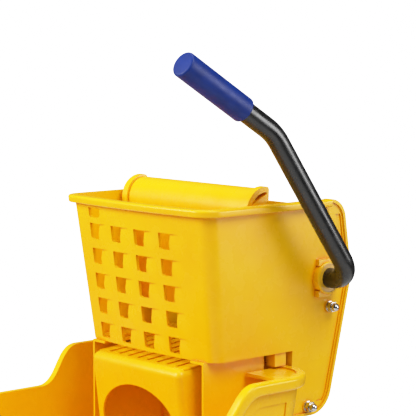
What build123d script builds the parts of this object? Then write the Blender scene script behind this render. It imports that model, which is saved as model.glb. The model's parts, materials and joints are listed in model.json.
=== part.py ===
"""Wheeled mop bucket with a side-press wringer.

Working frame: millimetres, +Z up, Z = 0 on the floor, X along the bucket with its open end
towards -X, Y = 0 on the centre plane and X = 0 at the middle of the wringer's front rim.
The pieces are written with the origin moved under the middle of the whole object.
"""

from build123d import *
import math
import os

# Heights above the floor
RIM_Z = 610.0
HIGH_RIM_Z = 402.0
LOW_RIM_Z = 353.0
TUB_BASE_Z = 95.0

# Bucket tub
TUB_WALL = 4.5
TUB_FRONT_X = -334.0
TUB_BACK_X = 150.0
TUB_HALF = 177.0
BASE_FRONT_X = -292.0
BASE_BACK_X = 118.0
BASE_HALF = 143.0
TUB_CORNER_R = 46.0
LIP_OUT = 8.0
LIP_H = 15.0
RAMP_FRONT_X = -17.0
RAMP_BACK_X = 49.0
LIP_ROUND = 3.5
LEDGE_X = (92.0, 147.0)
LEDGE_Y = 114.0
LEDGE_DROP = 2.0
LEDGE_T = 4.0

# Casters
CASTER_XS = {"front": -262.0, "rear": 88.0}
CASTER_Y = 112.0
WHEEL_R = 37.5
WHEEL_W = 26.0
WHEEL_CORE_R = 28.0
CASTER_TRAIL = 22.0
CASTER_AXLE_R = 5.0
STEM_R = 5.5
SOCKET_H = 34.0
FORK_TOP_Z = 87.5
FORK_GAP = 33.0
SHEET = 2.5

# Wringer body; a depth is a distance below the rim
WRINGER_HALF = 135.5
SIDE_DRAFT = 0.0616
FRONT_LEAN = 0.125
FRONT_BOW = 9.2
CORNER_R = 18.0
WALL = 4.0
HOPPER_DEPTH = 190.0
BODY_DEPTH = 278.5
RIM_OUT = 8.0
RIM_H = 9.5
RIM_ROUND = 3.0
BACK_DIP = 14.0
SLOT_X = (126.0, 162.0)
COVER_X = 212.0

# Drain holes in the front wall
HOLE_ROWS = 5
HOLE_COLUMNS = 4
HOLE_FIRST_Y = 93.5
HOLE_PITCH_Y = 47.0
HOLE_FIRST_DEPTH = 34.0
HOLE_PITCH_Z = 32.7
HOLE_W = 38.0
HOLE_H = 20.0
HOLE_THROUGH_W = 18.0

# Handle and linkage; offsets in X and depths below the rim
SHAFT = (212.0, 100.0)
LOWER_AXLE = (204.0, 198.0)
CRANK = 58.0
CRANK_LEAN_DEG = 15.0
CRANK_Y = 68.0
CRANK_T = 6.0
PIN_R = 5.0
RUN_GAP = 0.08
OPEN_GAP = 0.5
TUBE_R = 12.7
TUBE_WALL = 1.8
HANDLE_Y = -181.5
HANDLE_KNEE = (73.0, -91.0)
HANDLE_END = (-69.0, -175.5)
GRIP_R = 15.8
GRIP_LEN = 108.0
BOSS_R = 21.0
BOSS_Y = (115.5, 139.5)
BUSH_R = 14.8
BUSH_FLANGE_R = 18.0
AXLE_HALF = 117.5

# Drain base under the hopper
SKIRT_HALF = 88.0
SKIRT_X = 3.0
SKIRT_TOP = 201.0
SKIRT_BOTTOM = 335.0
SKIN = 3.0
SIDE_PLATE_X = 25.0
SIDE_PLATE_Y = 109.5
SLATS = 9

# Cover bolts; offsets in X and depths below the rim
COVER_BOLTS = ((223.0, 139.0), (192.5, 266.0))
BOLT_R = 4.0
PAD_H = 1.2

# Press plate; offsets in X and depths below the rim
PLATE_FOOT = (105.0, 155.0)
PLATE_TOP = -18.0
PLATE_T = 4.0
PLATE_GAP = 9.5
PLATE_BEAD = 3.0
BEAD_W = 10.0
LIP_X = 121.0
ROLL_R = 28.0

# Middle of the whole object's box in the working frame
MIDDLE_X = (TUB_FRONT_X - LIP_OUT + 258.0) / 2
MIDDLE_Y = (TUB_HALF + LIP_OUT + HANDLE_Y - GRIP_R) / 2


def save(name, shape):
    """Writes one node with the origin under the middle of the object."""
    moved = Pos(-MIDDLE_X, -MIDDLE_Y, 0) * shape
    export_step(moved, f"parts/{name}.step")


def side_slab(face, half=420.0):
    """A side view drawn as X and Z, made into a slab across the width."""
    return extrude(Plane.XZ * face, half, both=True)


def side_polygon(points, radii=0.0):
    """A filled side view from X, depth-below-rim points, with rounded corners."""
    placed = [(x, RIM_Z - depth) for x, depth in points]
    return make_face(FilletPolyline(*placed, radius=radii, close=True))


def side_box(x0, x1, depth0, depth1):
    """A rectangle in the side view."""
    height = depth1 - depth0
    return Pos((x0 + x1) / 2, RIM_Z - (depth0 + depth1) / 2) * Rectangle(x1 - x0, height)


def rod_y(x, z, radius, y0, y1):
    """A round bar along Y between two places."""
    bar = Cylinder(radius, abs(y1 - y0))
    return Pos(x, (y0 + y1) / 2, z) * (Rot(90, 0, 0) * bar)


def block(x0, x1, y0, y1, z0, z1):
    """A box given by its limits."""
    middle = Pos((x0 + x1) / 2, (y0 + y1) / 2, (z0 + z1) / 2)
    return middle * Box(x1 - x0, abs(y1 - y0), abs(z1 - z0))


def both_sides(shape):
    """A shape and its mirror image in the centre plane."""
    return shape + mirror(shape, about=Plane.XZ)


def pair(shape):
    """A shape and its mirror image kept as separate solids."""
    return Compound([*shape.solids(), *mirror(shape, about=Plane.XZ).solids()])


def outer_edges(faces):
    """Edges that only one of the given faces has."""
    edges = [edge for face in faces for edge in face.edges()]
    return [edge for edge in edges if sum(edge.is_same(other) for other in edges) == 1]


# ---------------------------------------------------------------- bucket tub


def tub_plan(z, grow):
    """The tub's outline at one height, grown outwards."""
    up = (z - TUB_BASE_Z) / (HIGH_RIM_Z - TUB_BASE_Z)
    front = BASE_FRONT_X + (TUB_FRONT_X - BASE_FRONT_X) * up - grow
    back = BASE_BACK_X + (TUB_BACK_X - BASE_BACK_X) * up + grow
    half = BASE_HALF + (TUB_HALF - BASE_HALF) * up + grow
    outline = RectangleRounded(back - front, 2 * half, TUB_CORNER_R + grow)
    return Pos((front + back) / 2, 0, z) * outline


def tub_solid(grow, low, high):
    """The tub's tapered block between two heights."""
    return loft([tub_plan(low, grow), tub_plan(high, grow)], ruled=True)


def below_rim_wave(drop, shift):
    """Everything below the rim's wave: low in front, rising in an S to the wringer's end."""
    low = LOW_RIM_Z - drop
    high = HIGH_RIM_Z - drop
    front = RAMP_FRONT_X + shift
    back = RAMP_BACK_X + shift
    reach = (back - front) * 0.5
    wave = Bezier((front, low), (front + reach, low), (back - reach, high), (back, high))
    around = Polyline((back, high), (back + 400, high), (back + 400, 0), (front - 600, 0),
                      (front - 600, low), (front, low))
    return side_slab(make_face(wave + around))


def caster_places():
    """Each caster's name and its place under the tub."""
    for end, x in CASTER_XS.items():
        for side, y in (("near", -CASTER_Y), ("far", CASTER_Y)):
            yield f"{end}_{side}", x, y


def make_tub():
    """One moulded tub with a rolled lip, recessed side panels and four socket domes."""
    top = HIGH_RIM_Z + 10
    outer = tub_solid(0, TUB_BASE_Z, top)
    outer = fillet(outer.faces().sort_by(Axis.Z)[0].edges(), 14)
    cavity = tub_solid(-TUB_WALL, TUB_BASE_Z + TUB_WALL, top + 10)
    cavity = fillet(cavity.faces().sort_by(Axis.Z)[0].edges(), 10)
    lip = tub_solid(LIP_OUT, 300, top) & below_rim_wave(0, 0)
    lip -= below_rim_wave(LIP_H, LIP_H / 2)
    for up in (1, -1):
        level = lip.faces().filter_by(lambda face: up * face.normal_at(face.center()).Z > 0.3)
        lip = fillet(outer_edges(level), LIP_ROUND)
    ledge_top = HIGH_RIM_Z - LEDGE_DROP
    ledge = block(*LEDGE_X, LEDGE_Y, 200, ledge_top - LEDGE_T, ledge_top)
    ledge = both_sides(ledge) & tub_solid(-TUB_WALL / 2, 300, top)
    panel_cut = tub_solid(10, 140, top) - tub_solid(-1.6, 130, top + 10)
    panel_cut &= below_rim_wave(LIP_H + 16, 18) & block(-262, 104, -300, 300, 150, 500)
    body = (outer & below_rim_wave(0, 0)) - panel_cut + lip
    for _, x, y in caster_places():
        dome = Pos(x, y, TUB_BASE_Z + 20) * Cylinder(21, 40)
        body += dome & outer
        cavity -= dome
    body = body - cavity + ledge
    for _, x, y in caster_places():
        body -= Pos(x, y, TUB_BASE_Z + SOCKET_H / 2) * Cylinder(9, SOCKET_H)
    return body


# ------------------------------------------------------------------- casters


def make_socket():
    """Nylon sleeve for a caster's stem, with a flange under the tub."""
    sleeve = Pos(0, 0, TUB_BASE_Z + SOCKET_H / 2) * Cylinder(9, SOCKET_H)
    flange = Pos(0, 0, TUB_BASE_Z - 1.25) * Cylinder(16, 2.5)
    flange = fillet(flange.edges().sort_by(Axis.Z)[0], 1)
    bore = Pos(0, 0, TUB_BASE_Z + 10) * Cylinder(STEM_R + RUN_GAP, 60)
    return sleeve + flange - bore


def make_stem():
    """Swivel stem with the bearing race that carries the load."""
    stem = Pos(0, 0, (FORK_TOP_Z + TUB_BASE_Z + SOCKET_H - 1) / 2)
    stem *= Cylinder(STEM_R, TUB_BASE_Z + SOCKET_H - 1 - FORK_TOP_Z)
    stem = chamfer(stem.edges().sort_by(Axis.Z)[-1], 1)
    race = Pos(0, 0, FORK_TOP_Z + 2.3) * Cylinder(15, 4.6)
    return stem + fillet(race.edges(), 1.2)


def make_fork():
    """Pressed fork: two legs that trail back to the wheel's axle."""
    outline = make_face(FilletPolyline(
        (-19, FORK_TOP_Z), (19, FORK_TOP_Z), (CASTER_TRAIL + 12, WHEEL_R + 4),
        (CASTER_TRAIL + 9, WHEEL_R - 12), (CASTER_TRAIL - 9, WHEEL_R - 12),
        (CASTER_TRAIL - 12, WHEEL_R + 2), (-19, FORK_TOP_Z - 14),
        radius=(5, 5, 8, 8, 8, 12, 6), close=True))
    fork = side_slab(outline, FORK_GAP / 2 + SHEET)
    fork -= block(-60, 90, -FORK_GAP / 2, FORK_GAP / 2, 0, FORK_TOP_Z - SHEET)
    hole = rod_y(CASTER_TRAIL, WHEEL_R, CASTER_AXLE_R + 0.02, -30, 30)
    return fork - hole


def make_caster_axle():
    """Axle bolt with its hexagon head, and the nut on the other leg."""
    face = FORK_GAP / 2 + SHEET
    shank = rod_y(CASTER_TRAIL, WHEEL_R, CASTER_AXLE_R, -face - 9, face)
    head = extrude(Plane.XZ * Pos(CASTER_TRAIL, WHEEL_R) * RegularPolygon(9, 6), 5)
    nut = extrude(Plane.XZ * Pos(CASTER_TRAIL, WHEEL_R) * RegularPolygon(9, 6), 7)
    nut -= rod_y(CASTER_TRAIL, WHEEL_R, CASTER_AXLE_R + 0.02, -20, 20)
    bolt = shank + Pos(0, face + 5, 0) * head
    return Compound([bolt.solid(), (Pos(0, -face, 0) * nut).solid()])


def make_wheel_core():
    """Moulded wheel centre: hub, web and rim."""
    half = WHEEL_W / 2 - 1
    profile = Polyline((CASTER_AXLE_R + RUN_GAP, -FORK_GAP / 2 + 0.6), (11, -FORK_GAP / 2 + 0.6),
                       (12, -4), (WHEEL_CORE_R - 4, -3), (WHEEL_CORE_R - 2.5, -half),
                       (WHEEL_CORE_R, -half), (WHEEL_CORE_R, half), (WHEEL_CORE_R - 2.5, half),
                       (WHEEL_CORE_R - 4, 3), (12, 4), (11, FORK_GAP / 2 - 0.6),
                       (CASTER_AXLE_R + RUN_GAP, FORK_GAP / 2 - 0.6), close=True)
    turned = revolve(Plane.XY * make_face(profile), Axis.Y)
    return Pos(CASTER_TRAIL, 0, WHEEL_R) * turned


def make_tyre():
    """Rubber tread around the wheel centre."""
    ring = Cylinder(WHEEL_R, WHEEL_W)
    ring = fillet(ring.edges().filter_by(GeomType.CIRCLE), 5)
    ring -= Cylinder(WHEEL_CORE_R, WHEEL_W + 2)
    return Pos(CASTER_TRAIL, 0, WHEEL_R) * (Rot(90, 0, 0) * ring)


# -------------------------------------------------------------- wringer body


def wringer_plan(depth, grow):
    """The wringer's outline at one depth: bowed front, rounded front corners, open back."""
    half = WRINGER_HALF - SIDE_DRAFT * depth + grow
    nose = FRONT_LEAN * depth - grow
    corner = nose + FRONT_BOW
    back = 320.0
    front = ThreePointArc((corner, half), (nose, 0), (corner, -half))
    sides = Polyline((corner, -half), (back, -half), (back, half), (corner, half))
    face = make_face(front + sides)
    face = fillet(face.vertices().sort_by(Axis.X)[:2], max(CORNER_R + grow, 3))
    return Pos(0, 0, RIM_Z - depth) * face


def wringer_solid(grow, depth0, depth1):
    """The wringer's tapered block between two depths."""
    return loft([wringer_plan(depth1, grow), wringer_plan(depth0, grow)], ruled=True)


def back_outline(inset):
    """Side view of the rear housing, with its bulged back."""
    outline = side_polygon(
        ((60, 0), (238, 0), (259, 100), (227, BODY_DEPTH), (60, BODY_DEPTH)),
        radii=(0, 30, 60, 34, 0))
    return offset(outline, -inset, kind=Kind.ARC) if inset else outline


def body_side_view():
    """Side view of the wringer's moulded walls, stopping where the back cover begins."""
    hopper = side_box(-60, SLOT_X[1], 0, HOPPER_DEPTH)
    top = side_box(60, COVER_X, 0, 30)
    rear = back_outline(WALL) & side_box(SLOT_X[1], 300, -1, 300)
    return hopper + top + rear


def front_hole(column, row):
    """Cutter for one drain hole: an opening on the left and a scooped ramp on its right."""
    y = HOLE_FIRST_Y - HOLE_PITCH_Y * column
    depth = HOLE_FIRST_DEPTH + HOLE_PITCH_Z * row
    return hole_cutter(y, depth, HOLE_W, HOLE_H, HOLE_THROUGH_W)


def hole_cutter(y, depth, width, height, through):
    """A window with a straight top, a rounded bottom and a ramp down to its opening."""
    ramp = make_face(Polyline((-6, 0), (WALL + 6, 0), (WALL + 6, -through), (WALL - 0.6, -through),
                              (0, -width), (-6, -width), close=True))
    column = extrude(ramp, -height)
    window = make_face(FilletPolyline((1, 1), (1, -height), (-width, -height), (-width, 1),
                                      radius=(0, 5, height * 0.7, 0), close=True))
    cutter = column & extrude(Plane.YZ * window, 40, both=True)
    surface = FRONT_LEAN * depth + FRONT_BOW * ((y - width / 2) / WRINGER_HALF) ** 2
    bow = math.degrees(math.atan(2 * FRONT_BOW * (y - width / 2) / WRINGER_HALF ** 2))
    lean = math.degrees(math.atan(FRONT_LEAN))
    turned = Rot(0, 0, -bow) * (Pos(0, width / 2, 0) * cutter)
    return Pos(surface, y - width / 2, RIM_Z - depth) * (Rot(0, lean, 0) * turned)


def make_basket():
    """Hopper, rear housing walls, rim, shaft bosses and the feet that sit on the tub's rim."""
    inside = wringer_solid(-WALL, -20, BODY_DEPTH + 20)
    shell = wringer_solid(0, 0, BODY_DEPTH) & side_slab(body_side_view())
    groove = wringer_solid(2, -5, BODY_DEPTH) - wringer_solid(-1.8, -10, BODY_DEPTH + 5)
    groove &= side_slab((back_outline(WALL + 2.5) - back_outline(WALL + 10))
                        & side_box(SLOT_X[1] + 8, 300, 20, 262))
    rim = wringer_solid(RIM_OUT, 0, RIM_H)
    rim &= side_slab(side_box(-60, COVER_X, -1, RIM_H))
    for side, radius in ((-1, RIM_ROUND), (0, RIM_ROUND - 1)):
        outer = rim.faces().sort_by(Axis.Z)[side].edges().sort_by(Axis.X)[:-1]
        rim = fillet(outer, radius)
    shell = shell - groove + rim
    shell -= inside
    floor = wringer_solid(-WALL + 0.5, HOPPER_DEPTH - 4, HOPPER_DEPTH)
    floor &= side_slab(side_box(60, SLOT_X[1] + 4, HOPPER_DEPTH - 5, HOPPER_DEPTH + 1))
    floor += wringer_solid(-WALL + 0.5, HOPPER_DEPTH - 4, HOPPER_DEPTH) & side_slab(
        side_box(-10, 62, HOPPER_DEPTH - 5, HOPPER_DEPTH + 1))
    floor -= block(-20, SLOT_X[0] - 2, -SKIRT_HALF - 6, SKIRT_HALF + 6, 300, 600)
    slot_wall = wringer_solid(-WALL + 0.5, HOPPER_DEPTH - 4, BODY_DEPTH) & side_slab(
        side_box(SLOT_X[1], SLOT_X[1] + WALL, HOPPER_DEPTH - 4, BODY_DEPTH - WALL))
    slot_wall -= both_sides(block(SLOT_X[1] - 2, SLOT_X[1] + 6, CRANK_Y - 12, CRANK_Y + 12,
                                  RIM_Z - HOPPER_DEPTH - 12, RIM_Z - HOPPER_DEPTH + 8))
    foot = block(134, 153, 105.5, 121, HIGH_RIM_Z + 0.5, RIM_Z - HOPPER_DEPTH + 1)
    shell += floor + slot_wall + both_sides(foot)
    shell += both_sides(shaft_boss() + axle_boss() + bolt_pads())
    for y in (-1, 1):
        shell -= rod_y(SHAFT[0], RIM_Z - SHAFT[1], BUSH_R, y * 60, y * 160)
        shell -= rod_y(SHAFT[0], RIM_Z - SHAFT[1], BUSH_FLANGE_R + 0.2, y * (BOSS_Y[1] - 2.5), y * 160)
        shell -= rod_y(LOWER_AXLE[0], RIM_Z - LOWER_AXLE[1], PIN_R + 0.02, y * 80, y * (AXLE_HALF + 0.5))
        for x, depth in COVER_BOLTS:
            shell -= rod_y(x, RIM_Z - depth, BOLT_R + 0.2, y * 90, y * 160)
    for row in range(HOLE_ROWS):
        for column in range(HOLE_COLUMNS):
            shell -= front_hole(column, row)
    return shell - hole_cutter(HOLE_FIRST_Y, 14, 26, 12, 24)


def shaft_boss():
    """Ring boss for one end of the shaft, with the small block above it."""
    z = RIM_Z - SHAFT[1]
    wall = WRINGER_HALF - SIDE_DRAFT * SHAFT[1]
    outer = rod_y(SHAFT[0], z, BOSS_R, wall - 3, BOSS_Y[1])
    outer = fillet(outer.edges().filter_by(GeomType.CIRCLE).sort_by(Axis.Y)[-1], 1.5)
    inner = rod_y(SHAFT[0], z, 20, BOSS_Y[0], wall - 2)
    blocks = [block(196, 217, wall - 2, wall + 7, z + up - 4, z + up + 4) for up in (20, -20)]
    return outer + inner + blocks


def axle_boss():
    """Blind boss inside the wall for one end of the lower axle."""
    return rod_y(LOWER_AXLE[0], RIM_Z - LOWER_AXLE[1], 11, AXLE_HALF - 10, AXLE_HALF + 4)


def bolt_pads():
    """Flat pads under the cover bolts' washers."""
    pads = Part()
    for x, depth in COVER_BOLTS:
        face = bolt_face(depth)
        pads += rod_y(x, RIM_Z - depth, 8, face - 3, face)
    return pads


def make_back_cover():
    """Bulged rear cover whose edge stands proud of the side walls, with bolting tabs."""
    band = back_outline(0) - back_outline(WALL)
    band -= side_box(0, SLOT_X[1] + WALL, -5, 300)
    band -= side_box(0, COVER_X, -5, 30)
    cover = wringer_solid(2.5, -5, BODY_DEPTH + 10) & side_slab(band)
    tab_space = wringer_solid(-WALL - 0.1, 0, BODY_DEPTH) - wringer_solid(-WALL - 4.1, -5, BODY_DEPTH + 5)
    tabs = side_box(206, 256, 124, 152) + side_box(178, 240, 244, BODY_DEPTH - 2)
    cover += tab_space & side_slab(back_outline(WALL - 1) & tabs)
    inside = WRINGER_HALF - 2 * WALL
    dip = block(COVER_X - 5, 300, -inside, inside, RIM_Z - BACK_DIP, RIM_Z + 50)
    cover -= fillet(dip.edges().filter_by(Axis.X), 10)
    for x, depth in COVER_BOLTS:
        cover -= rod_y(x, RIM_Z - depth, BOLT_R + 0.2, -200, 200)
    return cover


def bolt_face(depth):
    """How far from the centre plane a cover bolt's washer sits."""
    return WRINGER_HALF - SIDE_DRAFT * depth + PAD_H


def make_cover_bolts():
    """Four cover bolts with their heads inside."""
    bolts = []
    for x, depth in COVER_BOLTS:
        face = bolt_face(depth)
        inner = face - PAD_H - 2 * WALL - 1.4
        shank = rod_y(x, RIM_Z - depth, BOLT_R, inner, face + 12)
        head = rod_y(x, RIM_Z - depth, 7, inner - 4, inner)
        bolts.append(shank + head)
    return Compound([s for b in bolts for s in pair(b).solids()])


def make_cover_washers():
    """Four flat washers."""
    rings = []
    for x, depth in COVER_BOLTS:
        face = bolt_face(depth)
        ring = rod_y(x, RIM_Z - depth, 7, face, face + 1.5)
        rings.append(ring - rod_y(x, RIM_Z - depth, BOLT_R + 0.1, face - 1, face + 3))
    return Compound([s for r in rings for s in pair(r).solids()])


def make_dome_nuts():
    """Four hexagon nuts with domed ends."""
    nuts = []
    for x, depth in COVER_BOLTS:
        face = bolt_face(depth) + 1.5
        z = RIM_Z - depth
        hexagon = extrude(Plane.XZ * Pos(x, z) * RegularPolygon(7.2, 6), -6.5)
        hexagon = Pos(0, face, 0) * hexagon
        dome = Pos(x, face + 8.5, z) * Sphere(5.4)
        neck = rod_y(x, z, 5.4, face + 6, face + 8.5)
        nut = hexagon + dome + neck
        nut -= rod_y(x, z, BOLT_R, face - 5, face - 1.5 + 12)
        nuts.append(nut)
    return Compound([s for n in nuts for s in pair(n).solids()])


# ---------------------------------------------------------------- drain base


def skirt_side_view(skin):
    """Side view of the skirt: sloping top, rounded nose, leaning front."""
    bottom_x = SKIRT_X + FRONT_LEAN * (SKIRT_BOTTOM - SKIRT_TOP)
    outer = side_polygon(
        ((SKIRT_X, SKIRT_TOP), (bottom_x, SKIRT_BOTTOM), (SLOT_X[0], SKIRT_BOTTOM),
         (SLOT_X[0], HOPPER_DEPTH)),
        radii=(10, 0, 0, 0))
    return offset(outer, -skin, kind=Kind.ARC) if skin else outer


def make_drain_base():
    """Skirt box with an oval window, side plates and the wall behind them."""
    box = extrude(Plane.XZ * skirt_side_view(0), SKIRT_HALF, both=True)
    front_corners = box.edges().filter_by(lambda e: e.bounding_box().size.Z > 60).sort_by(Axis.X)[:2]
    box = fillet(front_corners, 9)
    hollow = extrude(Plane.XZ * skirt_side_view(SKIN), SKIRT_HALF - SKIN, both=True)
    hollow += block(SKIRT_X + 20, SLOT_X[0] - SKIN, -SKIRT_HALF + SKIN, SKIRT_HALF - SKIN,
                    RIM_Z - SKIRT_BOTTOM - 5, RIM_Z - SKIRT_BOTTOM + 8)
    seat = block(16, SLOT_X[0] - SKIN, -SKIRT_HALF + SKIN, SKIRT_HALF - SKIN, 300, 500)
    seat &= side_slab(side_box(0, 200, 150, 230))
    window = extrude(Plane.YZ * Pos(0, RIM_Z - 283) * Ellipse(73, 51), 40)
    base = box - hollow - seat - window
    top = RIM_Z - HOPPER_DEPTH
    bottom = RIM_Z - SKIRT_BOTTOM
    plate = block(SIDE_PLATE_X, SLOT_X[0], SIDE_PLATE_Y - SKIN, SIDE_PLATE_Y, bottom, top)
    rear = block(SLOT_X[0] - SKIN, SLOT_X[0], 0, SIDE_PLATE_Y, bottom, top)
    web = block(SIDE_PLATE_X, SLOT_X[0], SKIRT_HALF - SKIN, SIDE_PLATE_Y, top - SKIN, top)
    return base + both_sides(plate + rear + web)


def make_drain_grille():
    """Sloping grille of slats under the hopper, running from the back to the front."""
    slope = math.atan((SKIRT_TOP - HOPPER_DEPTH) / (SLOT_X[0] - SKIRT_X))
    half = SKIRT_HALF - SKIN - 0.3
    front, back = 16.3, SLOT_X[0] - SKIN - 0.3
    side_view = side_polygon(
        ((front, SKIRT_TOP - math.tan(slope) * (front - SKIRT_X)),
         (back, SKIRT_TOP - math.tan(slope) * (back - SKIRT_X)),
         (back, SKIRT_TOP - math.tan(slope) * (back - SKIRT_X) + 8),
         (front, SKIRT_TOP - math.tan(slope) * (front - SKIRT_X) + 8)))
    grille = extrude(Plane.XZ * side_view, half, both=True)
    pitch = 2 * half / SLATS
    for slat in range(1, SLATS):
        y = -half + pitch * slat
        grille -= block(front + 3, back - 4, y - 2.6, y + 2.6, 300, 600)
    return grille


# --------------------------------------------------------------- press plate


def upper_pin():
    """Upper crank pin's X and depth at rest."""
    lean = math.radians(CRANK_LEAN_DEG)
    return SHAFT[0] - CRANK * math.sin(lean), SHAFT[1] - CRANK * math.cos(lean)


def lower_pin():
    """Lower crank pin's X and depth at rest."""
    lean = math.radians(CRANK_LEAN_DEG)
    return LOWER_AXLE[0] - CRANK * math.sin(lean), LOWER_AXLE[1] - CRANK * math.cos(lean)


def plate_side_view(proud, foot=PLATE_FOOT[1]):
    """Side view of the press plate: leaning face, rolled top and turned-down back lip."""
    def face_x(depth, out):
        return PLATE_FOOT[0] - FRONT_LEAN * (PLATE_FOOT[1] - depth) - out
    top = PLATE_TOP - proud
    inner_top = PLATE_TOP + PLATE_T
    return side_polygon(
        ((face_x(foot, proud), foot), (face_x(top, proud), top), (LIP_X, top), (LIP_X, -3),
         (LIP_X - PLATE_T, -3), (LIP_X - PLATE_T, inner_top), (face_x(inner_top, -PLATE_T), inner_top),
         (face_x(foot, -PLATE_T), foot)),
        radii=(0, ROLL_R + proud, 5, 0, 0, 1, ROLL_R - PLATE_T, 0))


def make_press_plate():
    """Moving plate with beads along both ends, end webs and two arms to the crank pins."""
    room = wringer_solid(-WALL - PLATE_GAP, -40, HOPPER_DEPTH)
    middle = wringer_solid(-WALL - PLATE_GAP - BEAD_W, -40, HOPPER_DEPTH)
    plate = room & side_slab(plate_side_view(0))
    beads = (room - middle) & side_slab(plate_side_view(PLATE_BEAD))
    plate += beads
    foot_x, foot = PLATE_FOOT
    web_view = side_polygon(
        ((foot_x - 15, 2), (LIP_X - 3, -12), (LIP_X - 3, -5), (foot_x + 16, foot - 2),
         (foot_x + 2, foot - 2)))
    webs = (room - wringer_solid(-WALL - PLATE_GAP - 4, -40, HOPPER_DEPTH)) & side_slab(web_view)
    plate += webs
    a, b = upper_pin(), lower_pin()
    arm_view = side_polygon(
        ((foot_x - 14, 0), (foot_x + 8, -12), (a[0] - 2, a[1] - 11), (a[0] + 10, a[1] - 11),
         (a[0] + 10, a[1] + 11),
         (150, a[1] + 14), (150, b[1] - 14), (b[0] + 10, b[1] - 10), (b[0] + 10, b[1] + 10),
         (b[0] - 4, b[1] + 10), (foot_x + 2, foot - 1)),
        radii=(0, 0, 8, 9.5, 9.5, 18, 18, 9.5, 9.5, 6, 0))
    window = side_polygon(((110, 32), (136, 46), (136, 118), (118, 126)), radii=7)
    for y in (-1, 1):
        low, high = sorted((y * (CRANK_Y - 8), y * (CRANK_Y - 2)))
        arm = extrude(Plane.XZ * (arm_view - window), (high - low) / 2, both=True)
        plate += Pos(0, (low + high) / 2, 0) * arm
    plate -= rod_y(a[0], RIM_Z - a[1], PIN_R + RUN_GAP, -90, 90)
    plate -= rod_y(b[0], RIM_Z - b[1], PIN_R + OPEN_GAP, -90, 90)
    return plate


# -------------------------------------------------------- handle and linkage


def handle_points():
    """The tube's route: grip end, knee, shaft bend and far end of the shaft."""
    z = RIM_Z - SHAFT[1]
    return (Vector(HANDLE_END[0], HANDLE_Y, RIM_Z - HANDLE_END[1]),
            Vector(HANDLE_KNEE[0], HANDLE_Y, RIM_Z - HANDLE_KNEE[1]),
            Vector(SHAFT[0], HANDLE_Y, z),
            Vector(SHAFT[0], BOSS_Y[1] + 5, z))


def make_handle_tube():
    """One bent steel tube: lever and cross shaft."""
    end, knee, bend, far = handle_points()
    start = end + (knee - end).normalized() * 3
    path = FilletPolyline(start, knee, bend, far, radius=(70, 38))
    ring = Circle(TUBE_R) - Circle(TUBE_R - TUBE_WALL)
    section = Plane(origin=start, z_dir=knee - end) * ring
    tube = sweep(section, path=path)
    for y in (-CRANK_Y - 14, CRANK_Y + 14):
        tube -= Pos(SHAFT[0], y, RIM_Z - SHAFT[1]) * Cylinder(3.05, 40)
    return tube


def make_grip():
    """Moulded sleeve over the top of the lever, closed at its end."""
    end, knee, _, _ = handle_points()
    along = Plane(origin=end, z_dir=knee - end)
    sleeve = extrude(Circle(GRIP_R), GRIP_LEN)
    sleeve = fillet(sleeve.edges().sort_by(Axis.Z)[0], 3)
    sleeve = fillet(sleeve.edges().filter_by(GeomType.CIRCLE).sort_by(Axis.Z)[-1], 1.2)
    sleeve -= Pos(0, 0, 3 + GRIP_LEN / 2) * Cylinder(TUBE_R, GRIP_LEN)
    return along * sleeve


def make_bush(side):
    """Flanged nylon bush for the shaft."""
    z = RIM_Z - SHAFT[1]
    outer = BOSS_Y[1] - 0.5
    sleeve = rod_y(SHAFT[0], z, BUSH_R, BOSS_Y[0], outer)
    flange = rod_y(SHAFT[0], z, BUSH_FLANGE_R, outer - 2, outer)
    bush = sleeve + flange - rod_y(SHAFT[0], z, TUBE_R + RUN_GAP, 90, 150)
    return bush if side > 0 else mirror(bush, about=Plane.XZ)


def make_shaft_cap():
    """Plug that closes the shaft's far end and keeps it from sliding back."""
    z = RIM_Z - SHAFT[1]
    end = BOSS_Y[1] + 5
    disc = rod_y(SHAFT[0], z, 16, end, end + 4)
    disc = fillet(disc.edges().filter_by(GeomType.CIRCLE).sort_by(Axis.Y)[-1], 2)
    return disc + rod_y(SHAFT[0], z, TUBE_R - TUBE_WALL, end - 17, end)


def make_shaft_collar():
    """Collar on the far end of the shaft, against the bush."""
    z = RIM_Z - SHAFT[1]
    ring = rod_y(SHAFT[0], z, 17.5, BOSS_Y[1] - 0.2, BOSS_Y[1] + 4.4)
    return ring - rod_y(SHAFT[0], z, TUBE_R, BOSS_Y[1] - 10, BOSS_Y[1] + 10)


def crank_arm(pivot, pin, hub_r, hole_r, pin_hole_r, y0, y1):
    """Flat arm from a pivot to a pin, drawn for the +Y side."""
    first = Vector(pivot[0], RIM_Z - pivot[1])
    last = Vector(pin[0], RIM_Z - pin[1])
    across = (last - first).normalized().rotate(Axis.Z, 90)
    sides = Polyline(first + across * hub_r * 0.8, last + across * 9, last - across * 9,
                     first - across * hub_r * 0.8, close=True)
    view = make_face(sides) + Pos(*first) * Circle(hub_r) + Pos(*last) * Circle(10)
    view -= Pos(*first) * Circle(hole_r)
    view -= Pos(*last) * Circle(pin_hole_r)
    return Pos(0, y1, 0) * extrude(Plane.XZ * view, y1 - y0)


def make_upper_crank(side):
    """Steel crank with a collar clamped on the shaft."""
    arm = crank_arm(SHAFT, upper_pin(), 20, TUBE_R, PIN_R, CRANK_Y, CRANK_Y + CRANK_T)
    z = RIM_Z - SHAFT[1]
    collar = rod_y(SHAFT[0], z, 19, CRANK_Y, CRANK_Y + 22)
    collar -= rod_y(SHAFT[0], z, TUBE_R, CRANK_Y - 1, CRANK_Y + 30)
    crank = arm + collar - Pos(SHAFT[0], CRANK_Y + 14, z) * Cylinder(3.05, 60)
    return crank if side > 0 else mirror(crank, about=Plane.XZ)


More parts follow.
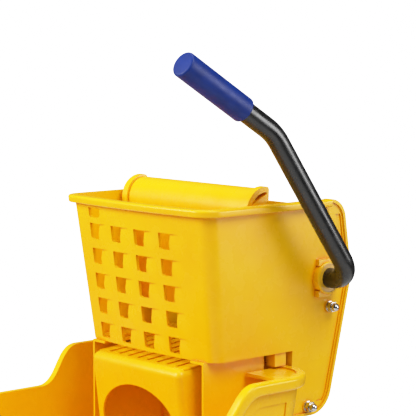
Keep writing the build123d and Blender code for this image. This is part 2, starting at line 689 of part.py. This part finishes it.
def make_crank_bolts():
    """Through bolts and nuts that key the cranks to the shaft."""
    z = RIM_Z - SHAFT[1]
    y = CRANK_Y + 14
    shank = Pos(SHAFT[0], y, z + 1) * Cylinder(3, 50)
    head = Pos(SHAFT[0], y, z + 19.2) * extrude(RegularPolygon(5.8, 6), 4)
    nut = Pos(SHAFT[0], y, z - 19.2 - 4.5) * extrude(RegularPolygon(5.8, 6), 4.5)
    nut -= shank
    return Compound([*pair(shank + head).solids(), *pair(nut).solids()])


def make_pins(pin):
    """Two headed crank pins."""
    z = RIM_Z - pin[1]
    body = rod_y(pin[0], z, PIN_R, CRANK_Y - 13, CRANK_Y + CRANK_T + 0.5)
    head = rod_y(pin[0], z, 8, CRANK_Y + CRANK_T, CRANK_Y + CRANK_T + 3)
    groove = rod_y(pin[0], z, PIN_R + 1, CRANK_Y - 10.7, CRANK_Y - 9.3)
    groove -= rod_y(pin[0], z, PIN_R - 1, CRANK_Y - 12, CRANK_Y - 8)
    return pair(body + head - groove)


def make_pin_clips(pin):
    """Two retaining clips in the pins' grooves."""
    z = RIM_Z - pin[1]
    ring = rod_y(pin[0], z, 8, CRANK_Y - 10.6, CRANK_Y - 9.4)
    ring -= rod_y(pin[0], z, PIN_R - 0.98, CRANK_Y - 12, CRANK_Y - 8)
    ring -= block(pin[0] - 3, pin[0] + 3, CRANK_Y - 12, CRANK_Y - 8, z - 12, z)
    return pair(ring)


def make_lower_axle():
    """Fixed axle that carries the lower cranks."""
    return rod_y(LOWER_AXLE[0], RIM_Z - LOWER_AXLE[1], PIN_R, -AXLE_HALF, AXLE_HALF)


def make_lower_crank(side):
    """Steel crank that keeps the plate upright."""
    crank = crank_arm(LOWER_AXLE, lower_pin(), 11, PIN_R + RUN_GAP, PIN_R, CRANK_Y, CRANK_Y + CRANK_T)
    return crank if side > 0 else mirror(crank, about=Plane.XZ)


def make_crank_spacer():
    """Tube on the lower axle that holds the two lower cranks apart."""
    z = RIM_Z - LOWER_AXLE[1]
    tube = rod_y(LOWER_AXLE[0], z, 8, -CRANK_Y, CRANK_Y)
    return tube - rod_y(LOWER_AXLE[0], z, PIN_R + 0.3, -CRANK_Y - 1, CRANK_Y + 1)


def make_axle_clips():
    """Rings that stop the lower cranks from sliding along the axle."""
    z = RIM_Z - LOWER_AXLE[1]
    ring = rod_y(LOWER_AXLE[0], z, 9, CRANK_Y + CRANK_T + 1, CRANK_Y + CRANK_T + 7)
    ring -= rod_y(LOWER_AXLE[0], z, PIN_R, CRANK_Y, CRANK_Y + 20)
    return pair(ring)


# --------------------------------------------------------------------- write


def main():
    os.makedirs("parts", exist_ok=True)
    save("bucket_tub", make_tub())
    for name, x, y in caster_places():
        place = Pos(x, y, 0)
        save(f"caster_socket_{name}", place * make_socket())
        save(f"caster_stem_{name}", place * make_stem())
        save(f"caster_fork_{name}", place * make_fork())
        save(f"caster_axle_{name}", place * make_caster_axle())
        save(f"caster_wheel_{name}", place * make_wheel_core())
        save(f"caster_tyre_{name}", place * make_tyre())
    save("wringer_basket", make_basket())
    save("back_cover", make_back_cover())
    save("cover_bolts", make_cover_bolts())
    save("cover_washers", make_cover_washers())
    save("cover_dome_nuts", make_dome_nuts())
    save("drain_base", make_drain_base())
    save("drain_grille", make_drain_grille())
    save("press_plate", make_press_plate())
    save("handle_tube", make_handle_tube())
    save("handle_grip", make_grip())
    save("shaft_bush_near", make_bush(-1))
    save("shaft_bush_far", make_bush(1))
    save("shaft_cap", make_shaft_cap())
    save("shaft_collar", make_shaft_collar())
    save("upper_crank_near", make_upper_crank(-1))
    save("upper_crank_far", make_upper_crank(1))
    save("crank_bolts", make_crank_bolts())
    save("upper_crank_pins", make_pins(upper_pin()))
    save("upper_pin_clips", make_pin_clips(upper_pin()))
    save("lower_axle", make_lower_axle())
    save("lower_crank_near", make_lower_crank(-1))
    save("lower_crank_far", make_lower_crank(1))
    save("lower_crank_spacer", make_crank_spacer())
    save("lower_crank_pins", make_pins(lower_pin()))
    save("lower_pin_clips", make_pin_clips(lower_pin()))
    save("axle_clips", make_axle_clips())


main()
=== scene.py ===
"""Mop bucket with a side-press wringer: finishes, smooth shading, studio and camera.

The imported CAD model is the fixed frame. Lengths are in metres, in its axes: +Z up, the floor
at Z = 0, the bucket's open end towards -X and the lever on the -Y side.
"""

import json
import math

import bpy
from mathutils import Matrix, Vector


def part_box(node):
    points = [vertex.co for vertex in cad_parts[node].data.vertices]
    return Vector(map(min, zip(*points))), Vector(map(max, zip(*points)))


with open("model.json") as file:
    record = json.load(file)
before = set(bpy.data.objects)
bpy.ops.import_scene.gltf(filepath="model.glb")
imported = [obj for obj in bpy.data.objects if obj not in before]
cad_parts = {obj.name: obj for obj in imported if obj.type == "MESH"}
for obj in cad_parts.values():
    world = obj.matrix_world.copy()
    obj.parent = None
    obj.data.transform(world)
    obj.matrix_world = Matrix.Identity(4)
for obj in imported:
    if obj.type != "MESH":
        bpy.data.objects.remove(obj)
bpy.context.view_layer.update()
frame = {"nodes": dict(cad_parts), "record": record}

MM = 0.001

# Shading: edges that turn more than this stay crisp
CRISP_EDGE_DEG = 32.0
WELD_M = 0.002 * MM

# Finishes, as linear colours
YELLOW = (0.93, 0.51, 0.0012)
YELLOW_DEEP = (0.90, 0.455, 0.0010)
# Painted shade: the deep orange mixed into corners, grooves and hole recesses
YELLOW_PAINTED_SHADE = (0.78, 0.24, 0.0006)
YELLOW_GLOSS = (1.0, 0.90, 0.60)
BLACK = (0.0035, 0.0035, 0.0037)
BLACK_WORN = (0.010, 0.010, 0.010)
BLUE = (0.0015, 0.024, 0.215)
BLUE_DEEP = (0.0012, 0.018, 0.165)
STEEL = (0.62, 0.61, 0.59)
STEEL_DARK = (0.45, 0.44, 0.43)
ZINC = (0.50, 0.51, 0.52)
ZINC_DARK = (0.36, 0.37, 0.39)
NYLON = (0.80, 0.42, 0.012)
PLASTIC_BLACK = (0.016, 0.016, 0.017)
PLASTIC_GREY = (0.22, 0.225, 0.23)
RUBBER_GREY = (0.105, 0.108, 0.112)
FLOOR_GREY = (0.80, 0.80, 0.79)

# How far the yellow looks for a neighbouring wall before it deepens into painted shade
PAINTED_SHADE_REACH_M = 9 * MM

# Surround: how bright it is to the camera, as light and in reflections
WORLD_SEEN = 2.0
WORLD_LIGHT = 0.44
WORLD_MIRRORED = 0.04

# Film: light in and brightness out, straight at first and easing off towards white
FILM_WHITE = 2.0
FILM_CURVE = (
    (0.0, 0.0), (0.25, 0.25), (0.5, 0.485), (0.8, 0.72),
    (1.0, 0.82), (1.25, 0.90), (1.5, 0.95), (2.0, 1.0),
)

# Floor disc and the width of its faded edge
FLOOR_R = 1.25
FLOOR_FADE = 0.35
FLOOR_SIDES = 96

# Lights: name, offset from the aim, size, power, seen in reflections only
LIGHT_AIM = (0.1, 0.0, 0.5)
LIGHTS = (
    ("key", (-1.75, 1.0, 1.0), 1.2, 58.0, False),
    ("side_key", (0.0, -1.60, 1.85), 1.3, 50.0, False),
    ("side_glow", (1.34, -1.65, 0.27), 1.0, 30.0, True),
    ("top", (0.2, 0.5, 2.2), 1.4, 21.0, False),
)

# Camera: it stands off from the middle of the wringer's front rim
VIEW_YAW_DEG = 48.6
VIEW_DOWN_DEG = 6.1
VIEW_OFFSET = (-1.315, -1.6375, 0.217)
RIM_OVERHANG = 8 * MM
LENS_MM = 147.1
SENSOR_MM = 36.0


# ---- Small tools for node trees -------------------------------------------------------------


class Finish:
    """A material in the making: its tree, its Principled shader and short ways to add nodes."""

    def __init__(self, name, colour, roughness, metallic=0.0):
        self.material = bpy.data.materials.new(name)
        self.material.use_nodes = True
        self.material.diffuse_color = (*colour, 1.0)
        self.tree = self.material.node_tree
        self.shader = self.tree.nodes["Principled BSDF"]
        self.set("Base Color", (*colour, 1.0))
        self.set("Roughness", roughness)
        self.set("Metallic", metallic)
        self.place = self.tree.nodes.new("ShaderNodeTexCoord").outputs["Object"]

    def set(self, socket, value):
        """A value that is the same all over."""
        self.shader.inputs[socket].default_value = value

    def link(self, start, end):
        self.tree.links.new(start, end)

    def stretched(self, scale):
        """Object coordinates scaled along each axis."""
        node = self.tree.nodes.new("ShaderNodeMapping")
        node.inputs["Scale"].default_value = scale
        self.link(self.place, node.inputs["Vector"])
        return node.outputs["Vector"]

    def noise(self, scale, detail=3.0, rough=0.55, vector=None):
        node = self.tree.nodes.new("ShaderNodeTexNoise")
        node.inputs["Scale"].default_value = scale
        node.inputs["Detail"].default_value = detail
        node.inputs["Roughness"].default_value = rough
        self.link(vector or self.place, node.inputs["Vector"])
        return node.outputs["Fac"]

    def cells(self, scale, vector=None):
        node = self.tree.nodes.new("ShaderNodeTexVoronoi")
        node.inputs["Scale"].default_value = scale
        self.link(vector or self.place, node.inputs["Vector"])
        return node.outputs["Distance"]

    def painted_shade_share(self, reach):
        """1 on open surfaces, falling towards 0 inside corners and grooves, where painted shade
        is mixed in.
        """
        node = self.tree.nodes.new("ShaderNodeAmbientOcclusion")
        node.samples = 8
        node.inputs["Distance"].default_value = reach
        return self.spread(node.outputs["AO"], 0.35, 0.85, 0.0, 1.0)

    def spread(self, value, low, high, to_low, to_high):
        """A value mapped from one range to another and held inside it."""
        node = self.tree.nodes.new("ShaderNodeMapRange")
        for name, number in zip(
            ("From Min", "From Max", "To Min", "To Max"), (low, high, to_low, to_high)
        ):
            node.inputs[name].default_value = number
        self.link(value, node.inputs["Value"])
        return node.outputs["Result"]

    def blend(self, share, first, second):
        """Two colours, or two colour outputs, mixed by a share."""
        node = self.tree.nodes.new("ShaderNodeMix")
        node.data_type = "RGBA"
        self.link(share, node.inputs["Factor"])
        for name, colour in (("A", first), ("B", second)):
            socket = next(s for s in node.inputs if s.name == name and s.type == "RGBA")
            if isinstance(colour, tuple):
                socket.default_value = (*colour, 1.0)
            else:
                self.link(colour, socket)
        return next(s for s in node.outputs if s.type == "RGBA")

    def raised(self, height, distance, strength=1.0, under=None):
        """Bumps of that height in metres, on top of other bumps."""
        node = self.tree.nodes.new("ShaderNodeBump")
        node.inputs["Strength"].default_value = strength
        node.inputs["Distance"].default_value = distance
        self.link(height, node.inputs["Height"])
        if under:
            self.link(under, node.inputs["Normal"])
        return node.outputs["Normal"]

    def finish(self, colour=None, roughness=None, normal=None):
        for socket, value in (
            ("Base Color", colour), ("Roughness", roughness), ("Normal", normal)
        ):
            if value:
                self.link(value, self.shader.inputs[socket])
        return self.material


# ---- Finishes -------------------------------------------------------------------------------


def yellow_plastic():
    """Moulded polypropylene: satin, slightly wavy, with fine flow clouds and painted shade
    deepening it to orange in corners and grooves.
    """
    f = Finish("yellow_plastic", YELLOW, 0.30)
    f.set("Specular IOR Level", 0.36)
    f.set("Specular Tint", (*YELLOW_GLOSS, 1.0))
    clouds = f.spread(f.noise(9.0, 4.0), 0.35, 0.65, 0.0, 1.0)
    # Painted shade: the yellow turns deep orange where a neighbouring wall is near
    colour = f.blend(f.painted_shade_share(PAINTED_SHADE_REACH_M), YELLOW_PAINTED_SHADE, f.blend(clouds, YELLOW, YELLOW_DEEP))
    roughness = f.spread(f.noise(38.0, 5.0), 0.3, 0.7, 0.23, 0.31)
    waves = f.raised(f.noise(16.0, 1.0), 1.2 * MM, 0.35)
    grain = f.raised(f.noise(1500.0, 2.0), 0.012 * MM, 0.7, waves)
    return f.finish(colour, roughness, grain)


def black_paint():
    """Baked enamel on steel tube, with faint orange peel."""
    f = Finish("black_paint", BLACK, 0.30)
    f.set("Specular IOR Level", 0.55)
    roughness = f.spread(f.noise(60.0, 4.0), 0.3, 0.7, 0.22, 0.36)
    colour = f.blend(f.noise(25.0), BLACK, BLACK_WORN)
    peel = f.raised(f.noise(300.0, 1.0), 0.02 * MM, 0.12)
    return f.finish(colour, roughness, peel)


def blue_grip():
    """Soft vinyl with a fine matt grain."""
    f = Finish("blue_grip", BLUE, 0.42)
    f.set("Specular IOR Level", 0.26)
    colour = f.blend(f.spread(f.noise(55.0, 4.0), 0.35, 0.65, 0.0, 1.0), BLUE, BLUE_DEEP)
    roughness = f.spread(f.noise(90.0, 4.0), 0.3, 0.7, 0.38, 0.55)
    grain = f.raised(f.cells(900.0), 0.03 * MM, 0.35)
    return f.finish(colour, roughness, grain)


def metal(name, colour, dark, roughness, brush):
    """Plated steel with rolling marks along one axis."""
    f = Finish(name, colour, roughness, 1.0)
    marks = f.noise(1.0, 5.0, 0.6, f.stretched(brush))
    shade = f.blend(f.spread(marks, 0.35, 0.65, 0.0, 1.0), colour, dark)
    rough = f.spread(marks, 0.3, 0.7, roughness * 0.75, roughness * 1.35)
    return f.finish(shade, rough, f.raised(marks, 0.01 * MM, 0.5))


def moulded(name, colour, roughness, grain):
    """Plain moulded plastic or rubber, with its grain size in metres."""
    f = Finish(name, colour, roughness)
    dark = tuple(c * 0.78 for c in colour)
    shade = f.blend(f.spread(f.noise(32.0, 5.0), 0.35, 0.65, 0.0, 1.0), colour, dark)
    rough = f.spread(f.noise(70.0, 4.0), 0.3, 0.7, roughness * 0.85, roughness * 1.15)
    bumps = f.raised(f.noise(1.0 / grain, 2.0), grain * 0.05, 0.6)
    return f.finish(shade, rough, bumps)


def make_finishes():
    """Every finish by the name of its slot in the record."""
    return {
        "yellow_plastic": yellow_plastic(),
        "black_paint": black_paint(),
        "blue_grip": blue_grip(),
        "bright_steel": metal("bright_steel", STEEL, STEEL_DARK, 0.22, (60, 900, 60)),
        "zinc_steel": metal("zinc_steel", ZINC, ZINC_DARK, 0.36, (500, 60, 500)),
        "nylon": moulded("nylon", NYLON, 0.42, 0.8 * MM),
        "black_plastic": moulded("black_plastic", PLASTIC_BLACK, 0.40, 0.6 * MM),
        "grey_plastic": moulded("grey_plastic", PLASTIC_GREY, 0.42, 0.8 * MM),
        "grey_rubber": moulded("grey_rubber", RUBBER_GREY, 0.62, 1.0 * MM),
    }


# ---- CAD nodes that are shown ---------------------------------------------------------------


def soft_shading():
    """A modifier group that welds a CAD mesh and shades it smooth across its gentle edges."""
    group = bpy.data.node_groups.new("soft_shading", "GeometryNodeTree")
    for side in ("INPUT", "OUTPUT"):
        group.interface.new_socket(
            "Geometry", in_out=side, socket_type="NodeSocketGeometry"
        )
    add = group.nodes.new
    start, end = add("NodeGroupInput"), add("NodeGroupOutput")
    weld = add("GeometryNodeMergeByDistance")
    weld.inputs["Distance"].default_value = WELD_M
    turn = add("GeometryNodeInputMeshEdgeAngle")
    crisp = add("FunctionNodeCompare")
    crisp.operation = "GREATER_THAN"
    crisp.inputs[1].default_value = math.radians(CRISP_EDGE_DEG)
    faces, edges = add("GeometryNodeSetShadeSmooth"), add("GeometryNodeSetShadeSmooth")
    edges.domain = "EDGE"
    edges.inputs["Shade Smooth"].default_value = False
    for out, into in (
        (start.outputs[0], weld.inputs["Geometry"]),
        (weld.outputs["Geometry"], faces.inputs["Geometry"]),
        (faces.outputs["Geometry"], edges.inputs["Geometry"]),
        (turn.outputs["Unsigned Angle"], crisp.inputs[0]),
        (crisp.outputs["Result"], edges.inputs["Selection"]),
        (edges.outputs["Geometry"], end.inputs[0]),
    ):
        group.links.new(out, into)
    return group


def slot_of_node():
    """The record's material slot of each CAD node."""
    return {row["node"]: row["material_slot"] for row in frame["record"]["subparts"]}


def dress_cad(finishes):
    """Gives every CAD node its finish and its smooth shading."""
    group = soft_shading()
    slots = slot_of_node()
    for name, thing in frame["nodes"].items():
        thing.data.materials.clear()
        thing.data.materials.append(finishes[slots[name]])
        thing.modifiers.new("soft_shading", "NODES").node_group = group


# ---- Studio ---------------------------------------------------------------------------------


def make_world():
    """A white surround that lights gently and hardly shows in reflections."""
    world = bpy.data.worlds.new("surround")
    bpy.context.scene.world = world
    world.use_nodes = True
    tree = world.node_tree
    back = tree.nodes["Background"]
    back.inputs["Color"].default_value = (1.0, 1.0, 1.0, 1.0)
    ray = tree.nodes.new("ShaderNodeLightPath")
    level = tree.nodes.new("ShaderNodeMapRange")
    level.inputs["To Max"].default_value = WORLD_SEEN
    tree.links.new(ray.outputs["Is Camera Ray"], level.inputs["Value"])
    mirrored = tree.nodes.new("ShaderNodeMapRange")
    mirrored.inputs["To Min"].default_value = WORLD_LIGHT
    mirrored.inputs["To Max"].default_value = WORLD_MIRRORED
    tree.links.new(ray.outputs["Is Glossy Ray"], mirrored.inputs["Value"])
    tree.links.new(mirrored.outputs["Result"], level.inputs["To Min"])
    tree.links.new(level.outputs["Result"], back.inputs["Strength"])


def make_floor():
    """A pale round floor that fades out at its edge."""
    turns = [2 * math.pi * i / FLOOR_SIDES for i in range(FLOOR_SIDES)]
    ring = [(FLOOR_R * math.cos(turn), FLOOR_R * math.sin(turn), 0) for turn in turns]
    mesh = bpy.data.meshes.new("floor")
    mesh.from_pydata(ring, [], [list(range(FLOOR_SIDES))])
    floor = bpy.data.objects.new("floor", mesh)
    bpy.context.scene.collection.objects.link(floor)
    f = Finish("pale_floor", FLOOR_GREY, 0.55)
    length = f.tree.nodes.new("ShaderNodeVectorMath")
    length.operation = "LENGTH"
    f.link(f.place, length.inputs[0])
    fade = f.spread(length.outputs["Value"], FLOOR_R - FLOOR_FADE, FLOOR_R, 1.0, 0.0)
    f.link(fade, f.shader.inputs["Alpha"])
    mesh.materials.append(f.finish(roughness=f.spread(f.noise(30.0), 0.3, 0.7, 0.5, 0.6)))


def add_light(name, place, target, size, power, mirrored_only):
    """A square soft light aimed at a point."""
    data = bpy.data.lights.new(name, "AREA")
    data.size = size
    data.energy = power
    light = bpy.data.objects.new(name, data)
    light.visible_diffuse = not mirrored_only
    light.location = place
    light.rotation_mode = "QUATERNION"
    light.rotation_quaternion = (target - place).to_track_quat("-Z", "Y")
    bpy.context.scene.collection.objects.link(light)


def make_lights():
    """A key from the open end, soft ones from the lever's side and above, and a glow."""
    target = Vector(LIGHT_AIM)
    for name, offset, size, power, mirrored_only in LIGHTS:
        add_light(name, target + Vector(offset), target, size, power, mirrored_only)


def make_film():
    """Bright colours ease off towards white, as they do on film."""
    settings = bpy.context.scene.view_settings
    settings.view_transform = "Standard"
    settings.look = "None"
    settings.use_curve_mapping = True
    mapping = settings.curve_mapping
    mapping.white_level = (FILM_WHITE, FILM_WHITE, FILM_WHITE)
    curve = mapping.curves[3]
    curve.points[0].location = FILM_CURVE[0]
    curve.points[1].location = (1.0, FILM_CURVE[-1][1])
    for light, shown in FILM_CURVE[1:-1]:
        curve.points.new(light / FILM_WHITE, shown)
    mapping.update()


def make_camera(rim_middle):
    """The view that the object is known from."""
    data = bpy.data.cameras.new("camera")
    data.lens = LENS_MM
    data.sensor_width = SENSOR_MM
    data.clip_end = 20.0
    camera = bpy.data.objects.new("camera", data)
    yaw, down = math.radians(VIEW_YAW_DEG), math.radians(VIEW_DOWN_DEG)
    look = Vector(
        (math.cos(yaw) * math.cos(down), math.sin(yaw) * math.cos(down), -math.sin(down))
    )
    camera.location = rim_middle + Vector(VIEW_OFFSET)
    camera.rotation_mode = "QUATERNION"
    camera.rotation_quaternion = look.to_track_quat("-Z", "Y")
    bpy.context.scene.collection.objects.link(camera)
    bpy.context.scene.camera = camera


# ---- The whole scene ------------------------------------------------------------------------


def main():
    low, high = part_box("wringer_basket")
    rim_middle = Vector((low.x + RIM_OVERHANG, (low.y + high.y) / 2, high.z))
    make_camera(rim_middle)
    dress_cad(make_finishes())
    make_world()
    make_floor()
    make_lights()
    make_film()


main()
